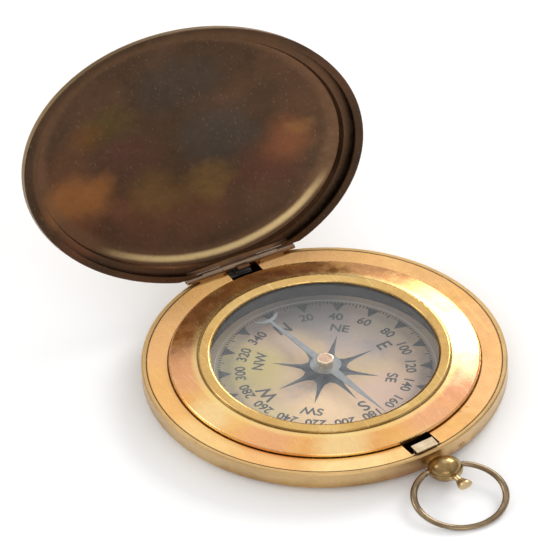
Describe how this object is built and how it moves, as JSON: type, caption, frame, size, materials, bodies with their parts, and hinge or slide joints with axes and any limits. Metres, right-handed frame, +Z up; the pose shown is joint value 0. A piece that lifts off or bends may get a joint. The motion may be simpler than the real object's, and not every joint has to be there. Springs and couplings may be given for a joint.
{
  "type": "pocket compass",
  "caption": "Round brass hunter-case pocket compass with hinged lid, push-button catch, glazed dial with spinning needle, and bow ring.",
  "frame": {"origin": "centre of the case's flat underside", "axes": "+Z up through the dial, +Y from the case towards the lid's hinge, +X to the right seen from the pendant"},
  "size_m": [0.072, 0.1266, 0.0712],
  "materials": {
    "case_brass": "aged, satin",
    "plate_brass": "heat-tinted, satin",
    "bezel_brass": "polished, worn",
    "lid_brass": "dark patina inside",
    "dark_brass": "antique patina",
    "cap_brass": "polished",
    "steel": "dull",
    "spring_steel": "blued",
    "black_lacquer": "matt",
    "crystal_glass": "clear",
    "card": "printed card",
    "gasket_rubber": "matt"
  },
  "bodies": {
    "case": {"case_pan": "case_brass", "cover_plate": "plate_brass", "raised_ring": "plate_brass", "glass_bezel": "bezel_brass", "crystal": "crystal_glass", "crystal_gasket": "gasket_rubber", "capsule_cup": "black_lacquer", "dial_plate": "dark_brass", "dial_card": "card", "pivot_post": "steel", "hinge_pin": "spring_steel", "lift_spring_screw": "spring_steel", "catch_block": "dark_brass", "catch_screw": "spring_steel", "pendant_neck": "dark_brass", "pendant_ball": "dark_brass", "hinge_knuckle_left": "dark_brass", "hinge_knuckle_right": "dark_brass"},
    "lid": {"lid_shell": "lid_brass", "lid_knuckle": "dark_brass"},
    "needle": {"needle_blade": "steel", "needle_cap": "cap_brass", "needle_jewel": "crystal_glass"},
    "bow": {"bow_ring": "dark_brass"},
    "button": {"push_stem": "dark_brass", "stem_collar": "dark_brass", "push_head": "dark_brass"},
    "catch": {"catch_spring": "spring_steel"},
    "lift": {"lift_spring": "spring_steel"}
  },
  "joints": [
    {"name": "lid_hinge", "type": "hinge", "parent": "case", "child": "lid", "pos_m": [0, 0.0343, 0.0099], "axis": [1, 0, 0], "range_deg": [0, 120]},
    {"name": "needle_spin", "type": "hinge", "parent": "case", "child": "needle", "pos_m": [0, 0, 0.0052], "axis": [0, 0, 1], "continuous": true},
    {"name": "bow_swing", "type": "hinge", "parent": "case", "child": "bow", "pos_m": [0.0051, -0.03877, 0.0043], "axis": [-0.9895, 0.1444, 0], "range_deg": [-77, 102]},
    {"name": "button_push", "type": "slide", "parent": "case", "child": "button", "axis": [-0.1305, 0.9914, 0], "range_m": [0, 0.0008], "stiffness_N_per_m": 2500, "springref_m": -0.0008},
    {"name": "catch_flex", "type": "hinge", "parent": "case", "child": "catch", "pos_m": [0.01104, -0.03205, 0.0043], "axis": [0, 0, -1], "range_deg": [0, 6.5]},
    {"name": "lift_flex", "type": "hinge", "parent": "case", "child": "lift", "pos_m": [-0.02063, 0.0264, 0.00725], "axis": [-0.3256, 0.9455, 0], "range_deg": [0, 1.5]}
  ],
  "couplings": [
    {"joint": "catch_flex", "follows": "button_push", "rad_per_m": 130.9},
    {"joint": "lift_flex", "follows": "lid_hinge", "ratio": 0.01}
  ]
}
